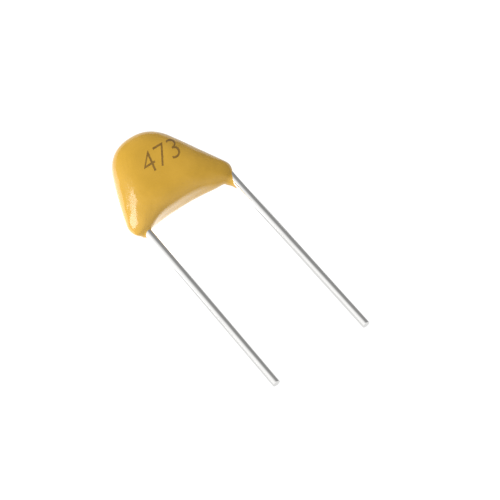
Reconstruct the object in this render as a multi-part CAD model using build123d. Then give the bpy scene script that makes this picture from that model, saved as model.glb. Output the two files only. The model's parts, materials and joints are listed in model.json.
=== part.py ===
from build123d import *

import os
from math import atan2, cos, degrees, radians, sin, sqrt

# Radial leaded multilayer ceramic capacitor with a dipped epoxy coating, lying on its back.
#
# The pieces are modelled in a flat frame, in millimetres: X runs across the two leads, Y from the
# lead tips towards the crown of the coating, and Z out of the marked face. The leads lie in the
# plane Z = 0, and the coating's two legs end at Y = 0. At the end every piece is laid down in the
# pose in which the loose part comes to rest: on the back of its coating and on its two lead tips.

# Lead wires: round tinned wire that turns in to the chip just inside the coating. Just below the
# coating each wire bends out a little, so that the tips stand further apart than the pitch.
lead_pitch = 5.08
lead_diameter = 0.40
lead_exposed = 10.06
lead_splay_drop = 0.72
lead_splay_radius = 20.0
lead_tip_splay = 0.11
lead_tip_chamfer = 0.03
lead_bend_radius = 0.45
lead_knee_rise = 0.62
lead_head_foot = 0.20
lead_head_top = 0.25

# Ceramic chip: its middle lies above the legs, and left of the middle of the leads
chip_length = 2.00
chip_height = 1.25
chip_thickness = 0.85
chip_edge_radius = 0.06
chip_rise = 3.30
chip_offset = -0.30

# Electrodes inside the chip, and the bare ceramic round them
electrode_count = 10
electrode_thickness = 0.02
electrode_end_margin = 0.30
electrode_side_margin = 0.16
electrode_face_margin = 0.14

# Metal caps on the chip's ends
termination_thickness = 0.04
termination_wrap = 0.42
termination_chamfer = 0.04

# Solder between each cap and its lead
solder_gap = 0.03
solder_inset = 0.06
solder_hollow = 0.05
solder_wire_share = 0.35

# Epoxy over the chip, the lead heads and the legs. Each leg is lowest a little left of its lead.
coat_face_cover = 0.49
coat_side_cover = 0.29
coat_crown_cover = 0.655
coat_left_leg_cover = 0.45
coat_right_leg_cover = 0.05
coat_left_leg_rise = 0.80
coat_right_leg_rise = 0.815
coat_leg_drift = 0.30
coat_foot_arch = 0.35
coat_left_flank_bulge = 0.11
coat_shoulder_rise = 0.16
coat_proud = 0.05
coat_sections = 13

# Crest of the coating: the flat oval on its face and on its back, to which the rim's outline draws
# in, with the turn round the oval at which each point of the outline arrives, and the share by
# which the coating tapers towards that point, or stands fuller there where the share is below zero
crest_rise_share = 0.523
crest_width_share = 0.40
crest_height_share = 0.218
crest_turns = {"foot": -90, "leg_end": -50, "leg_side": -20, "shoulder": 30, "crown": 90}
taper_shares = {"foot": -0.6, "leg_end": 0.3, "leg_side": 0.3, "shoulder": -0.1, "crown": -0.15}

# Collar of epoxy that has run down each lead, on its underside and its left
collar_left_length = 0.16
collar_right_length = 0.50
collar_left_cover = 0.04
collar_right_cover = 0.13
collar_root_rise = 0.30
collar_sag = 0.13
collar_film = 0.03
collar_hollow_share = 0.25

SIDES = {"left": -1, "right": 1}
LEG_COVERS = {"left": coat_left_leg_cover, "right": coat_right_leg_cover}
LEG_RISES = {"left": coat_left_leg_rise, "right": coat_right_leg_rise}
FLANK_BULGES = {"left": coat_left_flank_bulge, "right": 0}
COLLAR_LENGTHS = {"left": collar_left_length, "right": collar_right_length}
COLLAR_COVERS = {"left": collar_left_cover, "right": collar_right_cover}

lead_radius = lead_diameter / 2
half_pitch = lead_pitch / 2
chip_foot = chip_rise - chip_height / 2
chip_top = chip_rise + chip_height / 2
cap_end = chip_length / 2 + termination_thickness
head_offset = cap_end + solder_gap + lead_radius
coat_half_thickness = chip_thickness / 2 + termination_thickness + coat_face_cover
coat_half_width = head_offset + lead_radius + coat_side_cover
coat_crown = chip_top + coat_crown_cover


def lead(side):
    """A round wire that comes up from its splayed tip, turns in to the chip and runs up its end."""
    tip_x = SIDES[side] * (half_pitch + lead_tip_splay)
    foot_x = SIDES[side] * half_pitch
    head_x = chip_offset + SIDES[side] * head_offset
    path = FilletPolyline(
        (tip_x, -lead_exposed),
        (foot_x, -lead_splay_drop),
        (foot_x, lead_knee_rise),
        (head_x, chip_foot - lead_head_foot),
        (head_x, chip_top - lead_head_top),
        radius=[lead_splay_radius, lead_bend_radius, lead_bend_radius],
    )
    disc = Plane(origin=path @ 0, z_dir=path % 0) * Circle(lead_radius)
    wire = sweep(disc, path=path)
    tip = wire.edges().filter_by(GeomType.CIRCLE).sort_by(Axis.Y)[0]
    return chamfer(tip, lead_tip_chamfer)


def chip_block():
    """The fired ceramic block, before the electrodes are let into it."""
    block = Box(chip_length, chip_height, chip_thickness)
    long_edges = block.edges().filter_by(Axis.X)
    return Pos(chip_offset, chip_rise) * fillet(long_edges, chip_edge_radius)


def electrode(index):
    """One printed electrode: it reaches one end of the chip and stops short of the other."""
    stack = chip_thickness - 2 * electrode_face_margin
    z = stack * (index / (electrode_count - 1) - 1 / 2)
    side = -1 if index % 2 == 0 else 1
    plate = Box(
        chip_length - electrode_end_margin,
        chip_height - 2 * electrode_side_margin,
        electrode_thickness,
    )
    return Pos(chip_offset + side * electrode_end_margin / 2, chip_rise, z) * plate


def electrodes(side):
    """The comb of electrodes that one termination joins."""
    first = 0 if side == "left" else 1
    return Compound([electrode(i).solid() for i in range(first, electrode_count, 2)])


def termination(side):
    """A metal cap over one end of the chip and a little way along its four sides."""
    height = chip_height + 2 * termination_thickness
    thickness = chip_thickness + 2 * termination_thickness
    jacket = Box(2 * cap_end, height, thickness)
    jacket = fillet(jacket.edges().filter_by(Axis.X), chip_edge_radius + termination_thickness)
    ends = jacket.faces().filter_by(Axis.X)
    jacket = chamfer(ends.edges(), termination_chamfer)
    depth = termination_wrap + termination_thickness
    end = Pos(SIDES[side] * (cap_end - depth / 2)) * Box(depth, height, thickness)
    return Pos(chip_offset, chip_rise) * (jacket & end) - chip_block()


def solder(side):
    """Solder that fills the gap between a cap and its wire, with hollow flanks."""
    reach = solder_gap + lead_radius * (1 + solder_wire_share)
    wire_z = lead_radius * sqrt(1 - solder_wire_share**2)
    cap_z = chip_thickness / 2 - solder_inset
    middle = (reach / 2 - solder_hollow, (cap_z + wire_z) / 2 - solder_hollow)
    flank = ThreePointArc((0, cap_z), middle, (reach, wire_z))
    profile = make_face(
        [
            flank,
            Line((reach, wire_z), (reach, -wire_z)),
            mirror(flank, Plane.XZ),
            Line((0, -cap_z), (0, cap_z)),
        ]
    )
    foot = Plane(
        origin=(chip_offset + SIDES[side] * cap_end, chip_foot + solder_inset),
        x_dir=(SIDES[side], 0, 0),
        z_dir=(0, SIDES[side], 0),
    )
    run = chip_height - 2 * solder_inset
    return extrude(foot * profile, SIDES[side] * run) - lead(side)


def rim_half(side):
    """Points and directions of one half of the widest outline, from its foot to its crown."""
    middle_x = SIDES[side] * chip_offset
    leg_end = Vector(half_pitch - SIDES[side] * coat_leg_drift, 0)
    leg_side = Vector(half_pitch + lead_radius + LEG_COVERS[side], LEG_RISES[side])
    shoulder = Vector(middle_x + coat_half_width, chip_rise + coat_shoulder_rise)
    outward = (shoulder - leg_side).normalized().rotate(Axis.Z, -90)
    flank = (leg_side + shoulder) / 2 + outward * FLANK_BULGES[side]
    return {
        "foot": (Vector(middle_x, coat_foot_arch), Vector(1, 0)),
        "leg_end": (leg_end, Vector(1, 0)),
        "leg_side": (leg_side, (flank - leg_side).normalized()),
        "shoulder": (shoulder, (shoulder - flank).normalized()),
        "crown": (Vector(middle_x, coat_crown), Vector(-1, 0)),
    }


def crest_point(side, turn):
    """The point and direction at a turn round the crest's oval, in degrees."""
    across, along = cos(radians(turn)), sin(radians(turn))
    middle = Vector(SIDES[side] * chip_offset, coat_crown * crest_rise_share)
    width = coat_half_width * crest_width_share
    height = coat_crown * crest_height_share
    direction = Vector(-width * along, height * across).normalized()
    return middle + Vector(width * across, height * along), direction


def drawn_in(turn, taper_share):
    """The share of the way from rim to crest at a turn through the coating's elliptic edge."""
    across, out = cos(radians(turn)), sin(radians(turn))
    return 1 - across + taper_share * (across * out) ** 2


def half_outline(side, turn):
    """One half of the outline at a turn from -90 to 90 degrees, drawn in from rim to crest."""
    points, directions = [], []
    for name, (rim, rim_direction) in rim_half(side).items():
        drawn = drawn_in(turn, taper_shares[name])
        crest, crest_direction = crest_point(side, crest_turns[name])
        point = rim + (crest - rim) * drawn
        direction = rim_direction + (crest_direction - rim_direction) * drawn
        points.append((SIDES[side] * point.X, point.Y))
        directions.append((SIDES[side] * direction.X, direction.Y))
    return Spline(points, tangents=directions)


def section(turn):
    """The coating's closed outline at a turn through its edge, at its height."""
    halves = [half_outline(side, turn) for side in SIDES]
    return Pos(0, 0, coat_proud + coat_half_thickness * sin(radians(turn))) * make_face(halves)


def collar(side):
    """A sleeve round the wire inside the leg, drawn out below it to a hollow cone that sags."""
    tip = -COLLAR_LENGTHS[side]
    lip = lead_radius + collar_film - collar_sag
    root = lead_radius + COLLAR_COVERS[side]
    belly = lip + (root - lip) * collar_hollow_share
    flank = ThreePointArc((lip, tip), (belly, tip / 2), (root, 0))
    sleeve = Polyline(flank @ 1, (root, collar_root_rise), (0, collar_root_rise), (0, tip), flank @ 0)
    profile = make_face([flank, sleeve])
    sagged = Pos(SIDES[side] * half_pitch - collar_sag, 0, -collar_sag)
    return sagged * revolve(profile, Axis.Y)


def coating():
    """The dipped coat: a rounded bell with a hollow foot, moulded over everything inside it."""
    steps = [2 * i / (coat_sections - 1) - 1 for i in range(coat_sections)]
    turns = [90 * sin(radians(90 * step)) for step in steps]
    coat = loft([section(turn) for turn in turns])
    for side in SIDES:
        coat += collar(side)
    coat -= chip_block()
    for side in SIDES:
        coat -= termination(side)
        coat -= lead(side)
        coat -= solder(side)
    return coat


def laid_down(pieces):
    """Every piece in the pose of rest, with the origin under the middle of the whole part."""
    drop = coat_half_thickness - coat_proud - lead_radius
    reach = lead_exposed + coat_crown * (crest_rise_share - crest_height_share)
    lean = Rot(degrees(atan2(drop, reach)))
    turned = {name: lean * piece for name, piece in pieces.items()}
    box = Compound(list(turned.values())).bounding_box()
    place = Pos(-(box.min.X + box.max.X) / 2, -(box.min.Y + box.max.Y) / 2, -box.min.Z)
    return {name: place * piece for name, piece in turned.items()}


def main():
    pieces = {"epoxy_coating": coating(), "ceramic_chip": chip_block()}
    for side in SIDES:
        pieces["ceramic_chip"] -= electrodes(side)
        pieces[f"{side}_electrodes"] = electrodes(side)
        pieces[f"{side}_termination"] = termination(side)
        pieces[f"{side}_solder"] = solder(side)
        pieces[f"{side}_lead"] = lead(side)
    os.makedirs("parts", exist_ok=True)
    for name, piece in laid_down(pieces).items():
        export_step(piece, f"parts/{name}.step")
        print(name, "solids", len(piece.solids()), "volume", round(piece.volume, 4))


main()
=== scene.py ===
# %% [markdown]
# # A dipped ceramic capacitor
# This lesson dresses a small radial capacitor: a chip of layered ceramic between two tinned wires,
# dipped in mustard yellow epoxy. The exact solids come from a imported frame. Blender adds what solids
# lack: a skin that surface tension has drawn smooth, round wires, an ink mark and real finishes.

# %% Load the frame
import json
from math import atan2, copysign, degrees, pi, radians, tan

import bpy
from mathutils import Matrix, Vector

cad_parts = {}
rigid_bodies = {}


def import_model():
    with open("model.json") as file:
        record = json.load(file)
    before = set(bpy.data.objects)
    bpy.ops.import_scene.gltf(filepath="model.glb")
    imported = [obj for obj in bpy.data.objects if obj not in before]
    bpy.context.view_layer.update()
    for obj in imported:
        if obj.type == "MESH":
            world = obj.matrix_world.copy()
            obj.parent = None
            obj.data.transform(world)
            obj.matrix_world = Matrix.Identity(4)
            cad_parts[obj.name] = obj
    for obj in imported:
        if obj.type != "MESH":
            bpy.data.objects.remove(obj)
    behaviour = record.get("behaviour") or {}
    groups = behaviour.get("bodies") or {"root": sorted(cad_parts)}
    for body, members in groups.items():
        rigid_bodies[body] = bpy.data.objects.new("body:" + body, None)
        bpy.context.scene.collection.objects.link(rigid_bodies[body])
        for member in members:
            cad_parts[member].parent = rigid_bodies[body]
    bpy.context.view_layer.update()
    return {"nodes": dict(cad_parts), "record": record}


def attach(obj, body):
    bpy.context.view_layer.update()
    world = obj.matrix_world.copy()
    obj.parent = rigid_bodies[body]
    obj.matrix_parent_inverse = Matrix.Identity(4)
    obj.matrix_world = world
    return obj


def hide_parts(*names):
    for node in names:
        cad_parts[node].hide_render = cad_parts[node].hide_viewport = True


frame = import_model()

MM = 0.001
nodes = frame["nodes"]
print("nodes:", ", ".join(sorted(nodes)))

# %% [markdown]
# ## A flat frame to model in
# The loose part rests on its back and on its two wire tips, so it leans by a few degrees and nothing in
# it is square to the floor. It is easier to model flat, with the wires in the plane Z = 0, the ends of
# the coating's two legs at Y = 0 and the crown up the Y axis, and to lay each finished piece down.
# The two pins of the record say where the wires lie, and from them comes the matrix that does that.

# %% Find the flat frame from the two pins
WIRE_EXPOSED = 10.06 * MM
TIP_ROUND = 0.03 * MM

pins = frame["record"]["mounts"]
tips = []
for pin in pins:
    reach = pin["dims"]["length_mm"] * MM / 2 + TIP_ROUND
    tips.append(Vector(pin["pos_m"]) + Vector(pin["axis"]) * reach)
down = Vector(pins[0]["axis"])
lean = atan2(-down.z, -down.y)
upright = Matrix.Rotation(lean, 4, "X")
origin = (tips[0] + tips[1]) / 2 + upright @ Vector((0, WIRE_EXPOSED, 0))
laid_down = Matrix.Translation(origin) @ upright
print("lean in degrees:", round(degrees(lean), 3))


def lay_down(piece):
    """Moves a piece from the flat frame to its place, with the place kept in its mesh."""
    bpy.ops.object.select_all(action="DESELECT")
    piece.select_set(True)
    bpy.context.view_layer.objects.active = piece
    piece.matrix_world = laid_down @ piece.matrix_world
    bpy.ops.object.transform_apply(location=True, rotation=True, scale=True)


# %% [markdown]
# ## The wires
# Each lead is one round tinned wire, cut square at its tip. It runs straight up to the coating, and
# inside it turns in to the chip and runs up the chip's end. Before any mesh is made, the corners of its
# middle line are written down: the tip, a slight splay below the coating, the knee and the head.

# %% Set the route of the wires
SIDES = {"left": -1, "right": 1}
WIRE_PITCH = 5.08 * MM
TIP_SPLAY = 0.11 * MM
SPLAY_DROP = 0.72 * MM
KNEE_RISE = 0.62 * MM
HEAD_OUT = 1.27 * MM
HEAD_FOOT = 2.475 * MM
HEAD_TOP = 3.675 * MM
CHIP_OFFSET = -0.30 * MM


def wire_route(side):
    """The corners of a wire's middle line, from its tip to its head."""
    sign = SIDES[side]
    foot_x = sign * WIRE_PITCH / 2
    head_x = CHIP_OFFSET + sign * HEAD_OUT
    return [
        Vector((foot_x + sign * TIP_SPLAY, -WIRE_EXPOSED, 0)),
        Vector((foot_x, -SPLAY_DROP, 0)),
        Vector((foot_x, KNEE_RISE, 0)),
        Vector((head_x, HEAD_FOOT, 0)),
        Vector((head_x, HEAD_TOP, 0)),
    ]


for side in SIDES:
    print(side, "route in mm:", [[round(x / MM, 3) for x in corner.xy] for corner in wire_route(side)])

# %% [markdown]
# The frame's wires have few facets, which show on bright metal. A curve with a bevel would be quick, but
# a ring of edges that is extruded along each run and spun round each corner gives true arcs and an even
# mesh, and is how one would do it by hand.

# %% Extrude and spin the wires
WIRE_RADIUS = 0.20 * MM
WIRE_RING = 40
SPLAY_RADIUS = 20.0 * MM
BEND_RADIUS = 0.45 * MM
BEND_STEPS = 8


def run_on(step):
    """Extrudes the selected ring of the wire by a step."""
    bpy.ops.mesh.extrude_region_move(TRANSFORM_OT_translate={"value": step})


def model_wire(side):
    """One wire: a ring drawn out along its route, closed at both ends."""
    route = wire_route(side)
    heading = (route[1] - route[0]).normalized()
    bpy.ops.object.select_all(action="DESELECT")
    bpy.ops.mesh.primitive_circle_add(
        vertices=WIRE_RING,
        radius=WIRE_RADIUS,
        location=route[0],
        rotation=heading.to_track_quat("Z", "Y").to_euler(),
    )
    wire = bpy.context.object
    wire.name = f"{side}_wire"
    bpy.ops.object.mode_set(mode="EDIT")
    place = route[0]
    radii = [SPLAY_RADIUS, BEND_RADIUS, BEND_RADIUS]
    for before, corner, after, radius in zip(route, route[1:], route[2:], radii):
        come = (corner - before).normalized()
        go = (after - corner).normalized()
        turn = atan2(come.cross(go).z, come.dot(go))
        reach = radius * tan(abs(turn) / 2)
        run_on(corner - come * reach - place)
        inward = Vector((-come.y, come.x, 0)) * copysign(radius, turn)
        middle = corner - come * reach + inward
        bpy.ops.mesh.spin(steps=BEND_STEPS, angle=-turn, center=middle, axis=(0, 0, 1))
        place = corner + go * reach
    run_on(route[-1] - place)
    bpy.ops.mesh.select_all(action="SELECT")
    bpy.ops.mesh.fill_holes(sides=0)
    bpy.ops.mesh.normals_make_consistent(inside=False)
    bpy.ops.object.mode_set(mode="OBJECT")
    bpy.ops.object.transform_apply(location=True, rotation=True, scale=True)
    return wire


wires = {side: model_wire(side) for side in SIDES}
for wire in wires.values():
    print(wire.name, "size in mm:", [round(x / MM, 3) for x in wire.dimensions])

# %% [markdown]
# The cut tip of a real wire has no sharp rim, and a rounded rim catches a fine line of light. The rim
# is the ring at the wire's own foot, so it is picked by its place and rounded with a bevel.

# %% Round the cut tips and lay the wires down
TIP_STEPS = 3
SMOOTH_ANGLE = radians(40)


def pick_vertices(piece, wanted):
    """Selects the vertices of a piece whose place passes a test, and leaves it in edit mode."""
    bpy.context.view_layer.objects.active = piece
    bpy.ops.object.mode_set(mode="EDIT")
    bpy.ops.mesh.select_mode(type="VERT")
    bpy.ops.mesh.select_all(action="DESELECT")
    bpy.ops.object.mode_set(mode="OBJECT")
    for vertex in piece.data.vertices:
        vertex.select = wanted(vertex.co)
    bpy.ops.object.mode_set(mode="EDIT")


for side, wire in wires.items():
    tip = wire_route(side)[0]
    pick_vertices(wire, lambda place: (place - tip).length < WIRE_RADIUS + TIP_ROUND)
    bpy.ops.mesh.bevel(offset=TIP_ROUND, segments=TIP_STEPS, affect="EDGES")
    bpy.ops.object.mode_set(mode="OBJECT")
    lay_down(wire)
    bpy.ops.object.shade_smooth_by_angle(angle=SMOOTH_ANGLE)
    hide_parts(f"{side}_lead")
    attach(wire, "root")
    print(wire.name, "faces:", len(wire.data.polygons))

# %% [markdown]
# ## The dipped coat
# The chip and the wires' heads were dipped in liquid epoxy, which ran down the wires, hung in a hollow
# curve between them and set as one glossy skin. The frame's solid has that form, but its facets show as
# soon as it shines. Its copy is therefore reworked as a sculptor would. The copy's stored normals are
# cleared first: a remesh hands them on to its new faces, where they no longer fit and draw black specks.

# %% Copy the coating and merge its facets
MERGE_GAP = 0.001 * MM

skin = bpy.data.objects.new("epoxy_skin", nodes["epoxy_coating"].data.copy())
bpy.context.collection.objects.link(skin)
bpy.ops.object.select_all(action="DESELECT")
skin.select_set(True)
bpy.context.view_layer.objects.active = skin
bpy.ops.mesh.customdata_custom_splitnormals_clear()
bpy.ops.object.mode_set(mode="EDIT")
bpy.ops.mesh.select_mode(type="FACE")
bpy.ops.mesh.select_all(action="SELECT")
bpy.ops.mesh.remove_doubles(threshold=MERGE_GAP)
bpy.ops.mesh.select_all(action="DESELECT")
bpy.ops.object.mode_set(mode="OBJECT")
print("facets of the copy:", len(skin.data.polygons))

# %% [markdown]
# The coating is moulded over the pieces inside it, so over a third of its facets line them and are never
# seen. A facet is such a lining where it lies close to an inner piece and faces it. Those are deleted, what
# isn't joined to the top of the face goes with them, and the two holes where the wires leave are closed.

# %% Delete the lining and keep the outer shell
LINING_GAP = 0.03 * MM
INNER_NODES = ["ceramic_chip", "left_termination", "right_termination", "left_solder", "right_solder"]

inside = [nodes[name] for name in INNER_NODES] + list(wires.values())


def lines_a_piece(face):
    """Is this face a wall of the coating that lies against one of the pieces inside it?"""
    for piece in inside:
        found, _, normal, _ = piece.closest_point_on_mesh(face.center, distance=LINING_GAP)
        if found and normal.dot(face.normal) < 0:
            return True
    return False


for face in skin.data.polygons:
    face.select = lines_a_piece(face)
print("lining facets:", sum(face.select for face in skin.data.polygons))
bpy.ops.object.mode_set(mode="EDIT")
bpy.ops.mesh.delete(type="FACE")
bpy.ops.object.mode_set(mode="OBJECT")
highest = max(vertex.co.z for vertex in skin.data.vertices)
pick_vertices(skin, lambda place: place.z == highest)
bpy.ops.mesh.select_linked()
bpy.ops.mesh.select_all(action="INVERT")
bpy.ops.mesh.delete(type="VERT")
bpy.ops.mesh.select_all(action="SELECT")
bpy.ops.mesh.fill_holes(sides=0)
bpy.ops.object.mode_set(mode="OBJECT")
print("faces of the outer shell:", len(skin.data.polygons))

# %% [markdown]
# Liquid epoxy wets a wire: it climbs round it in a small hollow ring and doesn't leave a slit. To get that
# ring, a thin stub is set into each wire and joined to the shell. The remesh makes one skin of them, the
# smoothing hollows the crease between leg and stub, and the real wire then hides the stub.

# %% Set a stub into each wire
STUB_RADIUS = 0.19 * MM
STUB_FOOT, STUB_TOP = -0.6 * MM, 0.7 * MM

for sign in SIDES.values():
    bpy.ops.object.select_all(action="DESELECT")
    bpy.ops.mesh.primitive_cylinder_add(
        vertices=WIRE_RING,
        radius=STUB_RADIUS,
        depth=STUB_TOP - STUB_FOOT,
        location=(sign * WIRE_PITCH / 2, (STUB_TOP + STUB_FOOT) / 2, 0),
        rotation=(pi / 2, 0, 0),
    )
    lay_down(bpy.context.object)
    skin.select_set(True)
    bpy.context.view_layer.objects.active = skin
    bpy.ops.object.join()
print("faces with the stubs:", len(skin.data.polygons))

# %% [markdown]
# A remesh to even squares, smoothed after, turns every crease into the small fillet that surface tension
# leaves. Voxel remesh doesn't go finer than a tenth of a millimetre, which is coarse for a bead of 6 mm,
# so the shell is worked on at a thousand times its size and brought back. The whole skin is smoothed a
# little, and the collars more, because the last drop at the end of a run is always blunt.

# %% Remesh and smooth the skin
WORK_SCALE = 1000
VOXEL = 0.03 * MM
SMOOTH_SHARE = 0.5
SMOOTH_ROUNDS = 12
COLLAR_ROUNDS = 40
COLLAR_TOP = 0.1 * MM


def resize_skin(factor):
    """Scales the skin's mesh about the frame's origin."""
    bpy.ops.object.mode_set(mode="EDIT")
    bpy.ops.mesh.select_all(action="SELECT")
    bpy.ops.transform.resize(value=(factor, factor, factor), center_override=(0, 0, 0))
    bpy.ops.object.mode_set(mode="OBJECT")


resize_skin(WORK_SCALE)
skin.data.remesh_voxel_size = VOXEL * WORK_SCALE
bpy.ops.object.voxel_remesh()
bpy.ops.object.mode_set(mode="EDIT")
bpy.ops.mesh.select_all(action="SELECT")
bpy.ops.mesh.vertices_smooth(factor=SMOOTH_SHARE, repeat=SMOOTH_ROUNDS)
bpy.ops.object.mode_set(mode="OBJECT")
resize_skin(1 / WORK_SCALE)
flat = laid_down.inverted()
pick_vertices(skin, lambda place: (flat @ place).y < COLLAR_TOP)
bpy.ops.mesh.vertices_smooth(factor=SMOOTH_SHARE, repeat=COLLAR_ROUNDS)
bpy.ops.object.mode_set(mode="OBJECT")
bpy.ops.object.shade_smooth()
skin.data.materials.clear()
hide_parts("epoxy_coating")
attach(skin, "root")
print("skin faces:", len(skin.data.polygons))

# %% [markdown]
# ## The value mark
# Such parts carry three plain figures for their value, printed small and slanted in brown ink. The
# figures start as a text object with the built-in font, whose figures are 0.70 of its size high, narrowed
# and thinned to the printer's proportions. Long thin triangles can't follow a curved face, so the figures
# are cut into small tiles with bisect. Where a cut runs along an edge, it leaves slivers to dissolve.

# %% Set the figures and cut them into tiles
MARK_FIGURES = "473"
MARK_LEFT = -1.12 * MM
MARK_FOOT = 2.02 * MM
MARK_LIFT = 1.2 * MM
MARK_HEIGHT = 1.17 * MM
MARK_HEIGHT_SHARE = 0.70
MARK_NARROW_SHARE = 0.88
MARK_SLANT_SHARE = 0.29
MARK_THINNING = 0.022 * MM
MARK_CURVE_STEPS = 8
MARK_TILE = 0.06 * MM

bpy.ops.object.select_all(action="DESELECT")
bpy.ops.object.text_add(location=(MARK_LEFT, MARK_FOOT, MARK_LIFT))
mark = bpy.context.object
mark.name = "value_mark"
mark.data.body = MARK_FIGURES
mark.data.size = MARK_HEIGHT / MARK_HEIGHT_SHARE
mark.data.shear = MARK_SLANT_SHARE / MARK_NARROW_SHARE
mark.data.offset = -MARK_THINNING
mark.data.resolution_u = MARK_CURVE_STEPS
mark.scale.x = MARK_NARROW_SHARE
bpy.ops.object.convert(target="MESH")
bpy.ops.object.transform_apply(location=True, rotation=True, scale=True)


def cut_into_tiles(piece, axis):
    """Cuts a flat piece along evenly spaced planes square to an axis, and drops slivers with no area."""
    places = [vertex.co[axis] for vertex in piece.data.vertices]
    count = int((max(places) - min(places)) / MARK_TILE)
    square = Vector([float(i == axis) for i in range(3)])
    bpy.ops.object.mode_set(mode="EDIT")
    for i in range(1, count + 1):
        bpy.ops.mesh.select_all(action="SELECT")
        bpy.ops.mesh.bisect(plane_co=square * (min(places) + i * MARK_TILE), plane_no=square)
    bpy.ops.mesh.select_all(action="SELECT")
    bpy.ops.mesh.dissolve_degenerate(threshold=MERGE_GAP)
    bpy.ops.object.mode_set(mode="OBJECT")


cut_into_tiles(mark, 0)
cut_into_tiles(mark, 1)
print("mark size in mm:", [round(x / MM, 3) for x in mark.dimensions], "tiles:", len(mark.data.polygons))

# %% [markdown]
# A stamp comes down square to the face. A shrinkwrap that projects along the figures' own Z axis does the
# same: it bends them over the skin without changing their outline as seen from above. A solidify then
# gives them the thickness of a film of ink, so that they are real geometry and not a colour on the skin.

# %% Press the figures on the skin
INK_LIFT = 0.006 * MM
INK_FILM = 0.012 * MM

mark.matrix_world = laid_down
press = mark.modifiers.new("press", "SHRINKWRAP")
press.target = skin
press.wrap_method = "PROJECT"
press.use_project_z = True
press.use_negative_direction = True
press.use_positive_direction = False
press.offset = INK_LIFT
film = mark.modifiers.new("film", "SOLIDIFY")
film.thickness = INK_FILM
film.offset = -1
for modifier in ("press", "film"):
    bpy.ops.object.modifier_apply(modifier=modifier)
bpy.ops.object.transform_apply(location=True, rotation=True, scale=True)
bpy.ops.object.shade_smooth_by_angle(angle=SMOOTH_ANGLE)
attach(mark, "root")
print("mark faces:", len(mark.data.polygons))

# %% [markdown]
# ## Finishes
# Every finish below starts from noise in object coordinates, stretched where the real surface has a
# direction. The noise drives the colour, the roughness and a small bump, because a real surface changes
# in all three together. Noise seldom leaves its middle range, so that range is spread over each change.

# %% Helpers for the finishes
NOISE_LOW, NOISE_HIGH = 0.3, 0.7


def new_finish(name, metallic, ior):
    """A material with a principled shader, and that shader."""
    material = bpy.data.materials.new(name)
    material.use_nodes = True
    shader = material.node_tree.nodes["Principled BSDF"]
    shader.inputs["Metallic"].default_value = metallic
    shader.inputs["IOR"].default_value = ior
    return material, shader


def add_noise(material, grain, detail, stretch=(1, 1, 1)):
    """A noise whose features are about as large as the grain, drawn out along an axis by the stretch."""
    tree = material.node_tree
    place = tree.nodes.new("ShaderNodeTexCoord")
    mapping = tree.nodes.new("ShaderNodeMapping")
    noise = tree.nodes.new("ShaderNodeTexNoise")
    mapping.inputs["Scale"].default_value = [1 / share for share in stretch]
    noise.inputs["Scale"].default_value = 1 / grain
    noise.inputs["Detail"].default_value = detail
    tree.links.new(place.outputs["Object"], mapping.inputs["Vector"])
    tree.links.new(mapping.outputs["Vector"], noise.inputs["Vector"])
    return noise.outputs["Fac"]


def tint(material, shader, noise, low, high):
    """Lets the noise run the colour from one tone to another."""
    ramp = material.node_tree.nodes.new("ShaderNodeValToRGB")
    for stop, position, tone in zip(ramp.color_ramp.elements, (NOISE_LOW, NOISE_HIGH), (low, high)):
        stop.position = position
        stop.color = (*tone, 1)
    material.node_tree.links.new(noise, ramp.inputs["Fac"])
    material.node_tree.links.new(ramp.outputs["Color"], shader.inputs["Base Color"])


def roughen(material, shader, noise, low, high):
    """Lets the noise run the roughness between two values."""
    spread = material.node_tree.nodes.new("ShaderNodeMapRange")
    spread.inputs["From Min"].default_value = NOISE_LOW
    spread.inputs["From Max"].default_value = NOISE_HIGH
    spread.inputs["To Min"].default_value = low
    spread.inputs["To Max"].default_value = high
    material.node_tree.links.new(noise, spread.inputs["Value"])
    material.node_tree.links.new(spread.outputs["Result"], shader.inputs["Roughness"])


def raise_bump(material, shader, noise, height, strength):
    """Lets the noise raise a bump of a real height."""
    bump = material.node_tree.nodes.new("ShaderNodeBump")
    bump.inputs["Distance"].default_value = height
    bump.inputs["Strength"].default_value = strength
    material.node_tree.links.new(noise, bump.inputs["Height"])
    material.node_tree.links.new(bump.outputs["Normal"], shader.inputs["Normal"])


def put_on(material, *pieces):
    """Gives the pieces this finish alone."""
    for piece in pieces:
        piece.data.materials.clear()
        piece.data.materials.append(material)
    print(material.name, "on", ", ".join(piece.name for piece in pieces))


# %% [markdown]
# Set epoxy is nearly even in tone, with faint clouds where it is thicker and a very fine orange peel, so
# it has two noises of different grain. Tin on a drawn wire has streaks along it, and its bump is kept
# weak, because a strong one would blur the dark and bright bands that make metal look like metal. The
# ink is thin, so it is a browner shade of the epoxy, and duller.

# %% Epoxy, tinned wire and ink
epoxy, shader = new_finish("dipped_epoxy", metallic=0.0, ior=1.55)
clouds = add_noise(epoxy, grain=0.9 * MM, detail=3)
peel = add_noise(epoxy, grain=0.22 * MM, detail=2)
tint(epoxy, shader, clouds, low=(0.500, 0.286, 0.029), high=(0.545, 0.313, 0.035))
roughen(epoxy, shader, clouds, low=0.14, high=0.19)
raise_bump(epoxy, shader, peel, height=0.001 * MM, strength=0.15)
put_on(epoxy, skin)

tin, shader = new_finish("tinned_copper", metallic=1.0, ior=1.5)
streaks = add_noise(tin, grain=0.05 * MM, detail=2, stretch=(1, 24, 1))
tint(tin, shader, streaks, low=(0.86, 0.855, 0.84), high=(0.93, 0.925, 0.91))
roughen(tin, shader, streaks, low=0.08, high=0.13)
raise_bump(tin, shader, streaks, height=0.0005 * MM, strength=0.25)
put_on(tin, *wires.values())

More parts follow.
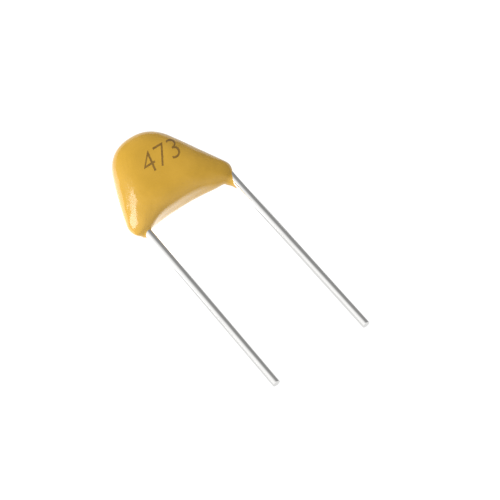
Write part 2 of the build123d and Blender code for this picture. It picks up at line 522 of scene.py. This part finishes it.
ink, shader = new_finish("brown_ink", metallic=0.0, ior=1.45)
wear = add_noise(ink, grain=0.12 * MM, detail=4)
tint(ink, shader, wear, low=(0.170, 0.090, 0.014), high=(0.250, 0.135, 0.022))
roughen(ink, shader, wear, low=0.35, high=0.55)
raise_bump(ink, shader, wear, height=0.002 * MM, strength=0.3)
put_on(ink, mark)

# %% [markdown]
# ## Finishes of the pieces inside
# Nobody sees the chip unless the coat is opened, but a part that comes apart should be finished all the
# way through: matt fired ceramic, burnt-on silver for the electrodes, dull tin caps and grey solder.

# %% Ceramic, electrodes, caps and solder
ceramic, shader = new_finish("fired_ceramic", metallic=0.0, ior=1.6)
speckle = add_noise(ceramic, grain=0.05 * MM, detail=5)
tint(ceramic, shader, speckle, low=(0.30, 0.24, 0.18), high=(0.42, 0.35, 0.27))
roughen(ceramic, shader, speckle, low=0.55, high=0.75)
raise_bump(ceramic, shader, speckle, height=0.003 * MM, strength=0.4)
put_on(ceramic, nodes["ceramic_chip"])

silver, shader = new_finish("burnt_silver", metallic=1.0, ior=1.5)
sinter = add_noise(silver, grain=0.03 * MM, detail=4)
tint(silver, shader, sinter, low=(0.62, 0.60, 0.57), high=(0.80, 0.78, 0.75))
roughen(silver, shader, sinter, low=0.40, high=0.60)
raise_bump(silver, shader, sinter, height=0.001 * MM, strength=0.4)
electrodes = [nodes["left_electrodes"], nodes["right_electrodes"]]
put_on(silver, *electrodes)

cap_tin, shader = new_finish("dull_tin", metallic=1.0, ior=1.5)
plating = add_noise(cap_tin, grain=0.04 * MM, detail=4)
tint(cap_tin, shader, plating, low=(0.55, 0.54, 0.52), high=(0.70, 0.69, 0.67))
roughen(cap_tin, shader, plating, low=0.42, high=0.62)
raise_bump(cap_tin, shader, plating, height=0.002 * MM, strength=0.5)
put_on(cap_tin, nodes["left_termination"], nodes["right_termination"])

solder, shader = new_finish("grey_solder", metallic=1.0, ior=1.5)
frost = add_noise(solder, grain=0.08 * MM, detail=4)
tint(solder, shader, frost, low=(0.58, 0.58, 0.58), high=(0.74, 0.74, 0.73))
roughen(solder, shader, frost, low=0.24, high=0.42)
raise_bump(solder, shader, frost, height=0.003 * MM, strength=0.5)
put_on(solder, nodes["left_solder"], nodes["right_solder"])

# %% [markdown]
# ## Floor, light and camera
# Product pictures are cut out on pure white, but what gloss and bright metal mirror is the real table,
# which isn't evenly lit. So there are two sheets, and the visibility switches of each object keep their
# jobs apart. The white one is seen by the camera and fills the part with soft light from below.

# %% Lay the white sheet
SHEET_SIZE = 1.2
SHEET_GLOW = 1.1
SHEET_TONE = (0.02, 0.02, 0.02, 1)
SHEET_ROUGHNESS = 0.9
WHITE = (1, 1, 1, 1)


def lay_sheet(name, height):
    """A large level plane."""
    bpy.ops.object.select_all(action="DESELECT")
    bpy.ops.mesh.primitive_plane_add(size=SHEET_SIZE, location=(0, 0, height))
    sheet = bpy.context.object
    sheet.name = name
    bpy.ops.object.transform_apply(location=True, rotation=True, scale=True)
    return sheet


def glowing(name):
    """A nearly black finish that glows white."""
    material, shader = new_finish(name, metallic=0.0, ior=1.5)
    shader.inputs["Base Color"].default_value = SHEET_TONE
    shader.inputs["Roughness"].default_value = SHEET_ROUGHNESS
    shader.inputs["Emission Color"].default_value = WHITE
    return material, shader


white_sheet = lay_sheet("white_sheet", 0)
white_sheet.visible_glossy = False
white_sheet.visible_shadow = False
paper, shader = glowing("white_paper")
shader.inputs["Emission Strength"].default_value = SHEET_GLOW
put_on(paper, white_sheet)

# %% [markdown]
# The glowing card just under it is seen in reflections alone, and its glow is painted light: dim under the
# wires, a painted pool of light beside the coat, where the edges fade to cream, and a painted shadow of the
# coat behind it on the right. The first change runs along Y. The second runs across a line that a mapping
# node moves and turns, and the two are multiplied.

# %% Lay the glowing card
CARD_DROP = 0.02 * MM
CARD_FROM, CARD_TO = 0.5 * MM, 3.5 * MM
CARD_DIM, CARD_BRIGHT = 0.78, 3.0
SHADE_MIDDLE = Vector((-0.3, 4.6, 0)) * MM
SHADE_TURN = radians(37)
SHADE_FADE = 4.0 * MM
SHADE_SHARE = 0.4


def add_fade(tree, value, start, end, low, high):
    """A smooth change from one value to another between two places."""
    fade = tree.nodes.new("ShaderNodeMapRange")
    fade.interpolation_type = "SMOOTHSTEP"
    fade.inputs["From Min"].default_value = start
    fade.inputs["From Max"].default_value = end
    fade.inputs["To Min"].default_value = low
    fade.inputs["To Max"].default_value = high
    tree.links.new(value, fade.inputs["Value"])
    return fade.outputs["Result"]


card = lay_sheet("glowing_card", -CARD_DROP)
card.visible_camera = False
card.visible_diffuse = False
opal, shader = glowing("opal_card")
tree = opal.node_tree
place = tree.nodes.new("ShaderNodeTexCoord")
turned = tree.nodes.new("ShaderNodeMapping")
turned.vector_type = "TEXTURE"
turned.inputs["Location"].default_value = SHADE_MIDDLE
turned.inputs["Rotation"].default_value = (0, 0, SHADE_TURN)
tree.links.new(place.outputs["Object"], turned.inputs["Vector"])
along = tree.nodes.new("ShaderNodeSeparateXYZ")
tree.links.new(place.outputs["Object"], along.inputs["Vector"])
across = tree.nodes.new("ShaderNodeSeparateXYZ")
tree.links.new(turned.outputs["Vector"], across.inputs["Vector"])
# The pool is a painted pool of light beside the coat, and the shade is a painted shadow of the coat behind
# it on the right.
pool = add_fade(tree, along.outputs["Y"], CARD_FROM, CARD_TO, CARD_DIM, CARD_BRIGHT)
shade = add_fade(tree, across.outputs["X"], -SHADE_FADE / 2, SHADE_FADE / 2, 1, SHADE_SHARE)
glow = tree.nodes.new("ShaderNodeMath")
glow.operation = "MULTIPLY"
tree.links.new(pool, glow.inputs[0])
tree.links.new(shade, glow.inputs[1])
tree.links.new(glow.outputs["Value"], shader.inputs["Emission Strength"])
put_on(opal, card)

# %% [markdown]
# The room has a bright side and a dim side too. Each wire mirrors the dim side as the dark band along its
# right edge, without which bright metal on a white floor would vanish.

# %% Grade the room from its bright side to its dim side
DIM_SIDE = (0.8, 0.6, 0)
DIM_FROM, DIM_TO = -0.5, 0.40
BRIGHT_GLOW = 1.08
DIM_GLOW = 0.29

room = bpy.data.worlds.new("graded_room")
room.use_nodes = True
tree = room.node_tree
outlook = tree.nodes.new("ShaderNodeTexCoord")
sideways = tree.nodes.new("ShaderNodeVectorMath")
sideways.operation = "DOT_PRODUCT"
sideways.inputs[1].default_value = DIM_SIDE
tree.links.new(outlook.outputs["Generated"], sideways.inputs[0])
grade = add_fade(tree, sideways.outputs["Value"], DIM_FROM, DIM_TO, BRIGHT_GLOW, DIM_GLOW)
background = tree.nodes["Background"]
background.inputs["Color"].default_value = WHITE
tree.links.new(grade, background.inputs["Strength"])
bpy.context.scene.world = room
print("room glows from", BRIGHT_GLOW, "down to", DIM_GLOW)

# %% [markdown]
# The key is a soft panel high on the left, which draws the one sharp highlight on the coat. Bright metal
# would mirror that panel as a burnt-out stripe, and a photographer would hold a black flag between the
# two. Light linking does the same: the key lights the pieces of one collection, without the wires.

# %% Hang the key light
KEY_GLOW = 7.0
KEY_WIDTH = 0.24
KEY_HEIGHT = 0.26
KEY_DISTANCE = 0.37
KEY_SIDE = Vector((-0.70, 0.29, 0.64)).normalized()

bpy.ops.object.light_add(type="AREA", location=KEY_SIDE * KEY_DISTANCE)
key = bpy.context.object
key.name = "left_panel"
key.data.shape = "RECTANGLE"
key.data.size = KEY_WIDTH
key.data.size_y = KEY_HEIGHT
key.data.energy = KEY_GLOW * pi * KEY_WIDTH * KEY_HEIGHT
key.rotation_euler = KEY_SIDE.to_track_quat("Z", "Y").to_euler()
lit_pieces = bpy.data.collections.new("lit_by_key")
for piece in [skin, mark, *electrodes] + [nodes[name] for name in INNER_NODES]:
    lit_pieces.objects.link(piece)
key.light_linking.receiver_collection = lit_pieces
bpy.context.scene.view_settings.view_transform = "Standard"
print("key light:", round(key.data.energy, 3), "W")

# %% [markdown]
# A small part is photographed with a long lens from well away, so the two wires stay almost parallel. The
# camera looks at one point on the floor, and its place follows from a turn about the upright axis, a rise
# above the floor and a distance.

# %% Place the camera
CAMERA_TURN = radians(-37.595)
CAMERA_RISE = radians(56.624)
CAMERA_DISTANCE = 222.85 * MM
CAMERA_LENS = 339.55
CAMERA_NEAR = 10 * MM
CAMERA_AIM = Vector((1.1652, -0.5559, 0)) * MM

bpy.ops.object.camera_add()
camera = bpy.context.object
camera.data.lens = CAMERA_LENS
camera.data.clip_start = CAMERA_NEAR
back = Matrix.Rotation(CAMERA_TURN, 3, "Z") @ Matrix.Rotation(-CAMERA_RISE, 3, "X") @ Vector((0, -1, 0))
camera.location = CAMERA_AIM + back * CAMERA_DISTANCE
camera.rotation_euler = back.to_track_quat("Z", "Y").to_euler()
bpy.context.scene.camera = camera
print("camera at", [round(x / MM, 2) for x in camera.location])
